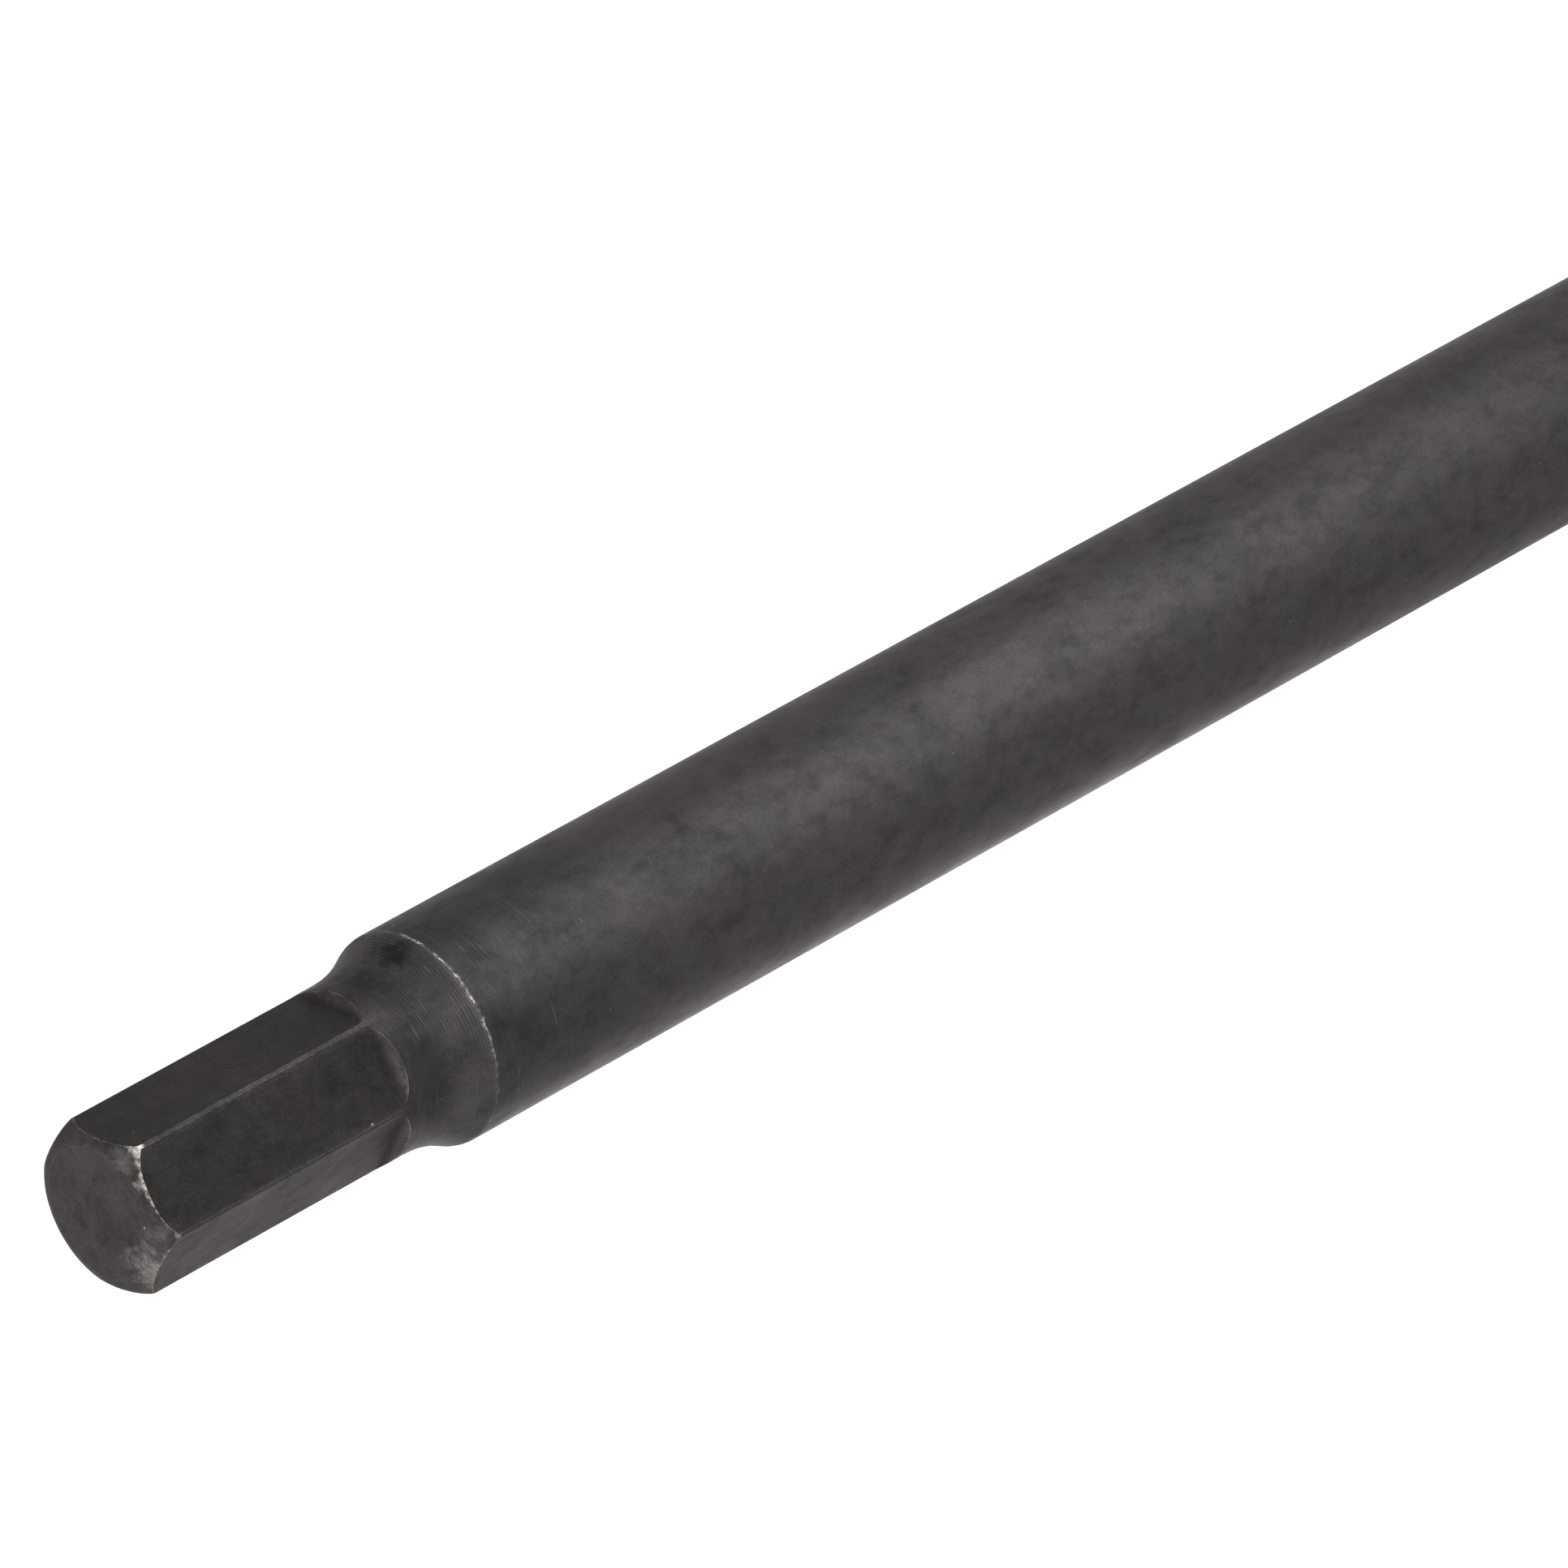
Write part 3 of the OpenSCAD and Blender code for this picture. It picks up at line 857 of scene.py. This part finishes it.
body_steel, tree, shader, own = fresh_material("black body steel")
here = place_group(tree, lathe, {"Position": own["Object"]})
spot, radius, height, bearing, to_flat = (
    here[label] for label in ("Place", "Radius", "Height", "Bearing", "To Flat"))
sideways = parts_of(tree, spot)[1]
above_hole = minus(tree, height, DRIVE_HOLE_Z)
off_hole = root(tree, times(tree, sideways, sideways), times(tree, above_hole, above_hole))
hole_rim = total(tree, apart(tree, off_hole, DRIVE_HOLE_R), apart(tree, radius, DRIVE_GROOVE_R))
mouth = total(tree, apart(tree, to_flat, ROOT_HALF + MOUTH_CHAMFER),
              apart(tree, height, BODY_LEN))
edge = least(tree, mouth, hole_rim, *(to_ring(tree, radius, height, *ring) for ring in RINGS))
print("body steel: the wear follows", len(RINGS) + 2, "edges")

# %% [markdown]
# The photograph doesn't show the body, so its look is a guess. It has the bit's skin with
# larger clouds and more stains, which keeps it from looking like one piece with the bit.
# Its wear is the same on every side, since such a body is gripped all round. Only its
# turned outside gets the straightened normal: the bores inside are made of flats.

# %% Body steel: shader
BODY_SOLID_R = 10.6

skin = place_group(tree, phosphate, {
    "Place": spot, "Warm": SKIN_WARM, "Cool": SKIN_COOL, "Cloud Size": 4.0, "Stain": 0.6})
marks = place_group(tree, turning, {
    "Place": spot, "Height": height, "Bearing": bearing, "Pitch": RING_PITCH})
edge_line = worn_line(tree, spot, edge, width=0.22, ragged=0.85, amount=0.45)
nick = times(tree, 0.4, place_group(tree, nicks, {"Place": spot, "Size": 0.12})["Nick"])
bare = least(tree, 1.0, total(tree, most(tree, edge_line, nick), times(tree, marks["Arc"], 0.05)))
put(tree, blend(tree, bare, skin["Color"], BARE), shader.inputs["Base Color"])
put(tree, total(tree, SKIN_METAL, times(tree, bare, BARE_METAL)), shader.inputs["Metallic"])
put(tree, total(tree, SKIN_ROUGH, skin["Roughness"], times(tree, bare, BARE_ROUGH)),
    shader.inputs["Roughness"])
shader.inputs["Specular IOR Level"].default_value = SKIN_SPECULAR
shader.inputs["Specular Tint"].default_value = GRAZING
smooth = place_group(tree, turned_normal, {
    "Place": spot, "Radius": radius, "Normal": own["Normal"],
    "Share": calc(tree, "GREATER_THAN", radius, BODY_SOLID_R)})
give_relief(tree, shader, SKIN_RELIEF_MM,
            [times(tree, marks["Groove"], 0.8), skin["Grain"]], smooth["Normal"])
print("body steel has", len(tree.nodes), "nodes")

# %% [markdown]
# The cross pin is ground bar, left bright, with a straw tint where it was tempered. It
# lies along X, so its own grinding rings and end chamfers are measured along that line.
# Stretched noise gives the rings, because a ground bar has no even thread.

# %% Pin steel
PIN_HALF = 9.65
PIN_CHAMFER = 0.4
PIN_RELIEF_MM = 0.003
STRAW, GREY = (0.30, 0.27, 0.22, 1), (0.33, 0.33, 0.33, 1)

pin_steel, tree, shader, own = fresh_material("ground pin steel")
spot = scaled(tree, own["Object"], 1 / MM)
along, sideways, upright = parts_of(tree, spot)
rings = noise(tree, triple(tree, times(tree, along, 9.0), times(tree, sideways, 0.4),
                           times(tree, upright, 0.4)), 1.0, detail=3.0, rough=0.7, seed=2.5)
tempered = noise(tree, spot, 0.5, detail=3.0, rough=0.55, seed=6.6)
end_gap = minus(tree, PIN_HALF, calc(tree, "ABSOLUTE", along))
end_line = worn_line(tree, spot, apart(tree, end_gap, PIN_CHAMFER),
                     width=0.15, ragged=0.6, amount=0.5)
tint = blend(tree, fade(tree, tempered, 0.35, 0.65), STRAW, GREY)
ringed = scaled(tree, tint, fade(tree, rings, 0.3, 0.7, 0.85, 1.1))
put(tree, blend(tree, end_line, ringed, BARE), shader.inputs["Base Color"])
shader.inputs["Metallic"].default_value = 1.0
put(tree, fade(tree, rings, 0.3, 0.7, 0.26, 0.40), shader.inputs["Roughness"])
give_relief(tree, shader, PIN_RELIEF_MM, [rings])
print("pin steel has", len(tree.nodes), "nodes")

# %% [markdown]
# The ring is moulded rubber. It has the mould's parting line round its middle, a dull
# bloom that comes and goes, fine scuffs round it from being rolled on and off, and dust
# in its pores. The scuffs reuse the turning marks, because both run round the axis.

# %% Ring rubber
FRESH, BLOOMED = (0.011, 0.011, 0.012, 1), (0.032, 0.030, 0.028, 1)
DUST = (0.075, 0.070, 0.062, 1)
SCUFF_PITCH = 0.35
RUBBER_SPECULAR = 0.24
RUBBER_RELIEF_MM = 0.03

ring_rubber, tree, shader, own = fresh_material("ring rubber")
here = place_group(tree, lathe, {"Position": own["Object"]})
spot, height, bearing = (here[label] for label in ("Place", "Height", "Bearing"))
bloom = noise(tree, spot, 0.45, detail=4.0, rough=0.6, seed=4.1)
pores = noise(tree, spot, 5.0, detail=3.0, rough=0.7, seed=1.9)
marks = place_group(tree, turning, {
    "Place": spot, "Height": height, "Bearing": bearing, "Pitch": SCUFF_PITCH})
seam = rest_of(tree, fade(tree, apart(tree, height, PIN_Z), 0.05, 0.16))
dusty = times(tree, fade(tree, pores, 0.58, 0.72), fade(tree, bloom, 0.45, 0.65), 0.5)
rubber = blend(tree, fade(tree, bloom, 0.35, 0.68), FRESH, BLOOMED)
put(tree, blend(tree, dusty, rubber, DUST), shader.inputs["Base Color"])
put(tree, total(tree, fade(tree, bloom, 0.3, 0.7, 0.46, 0.72), times(tree, marks["Arc"], 0.10)),
    shader.inputs["Roughness"])
shader.inputs["Specular IOR Level"].default_value = RUBBER_SPECULAR
give_relief(tree, shader, RUBBER_RELIEF_MM,
            [seam, times(tree, pores, 0.6), times(tree, marks["Groove"], 0.12)])
print("ring rubber has", len(tree.nodes), "nodes")

# %% [markdown]
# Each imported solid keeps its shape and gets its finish. A material could also be given
# face by face, but one slot a piece is enough, because the masks tell the faces apart. An
# object here sits at the origin, so object coordinates are the tool's own coordinates, and
# the patterns meet the edges.

# %% Dress the solids
DRESS = {"hex_bit": bit_steel, "drive_socket": body_steel, "bit_pin": pin_steel,
         "pin_ring": ring_rubber}
for node, material in DRESS.items():
    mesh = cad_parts[node].data
    mesh.materials.clear()
    mesh.materials.append(material)
    print(node, "wears", material.name)
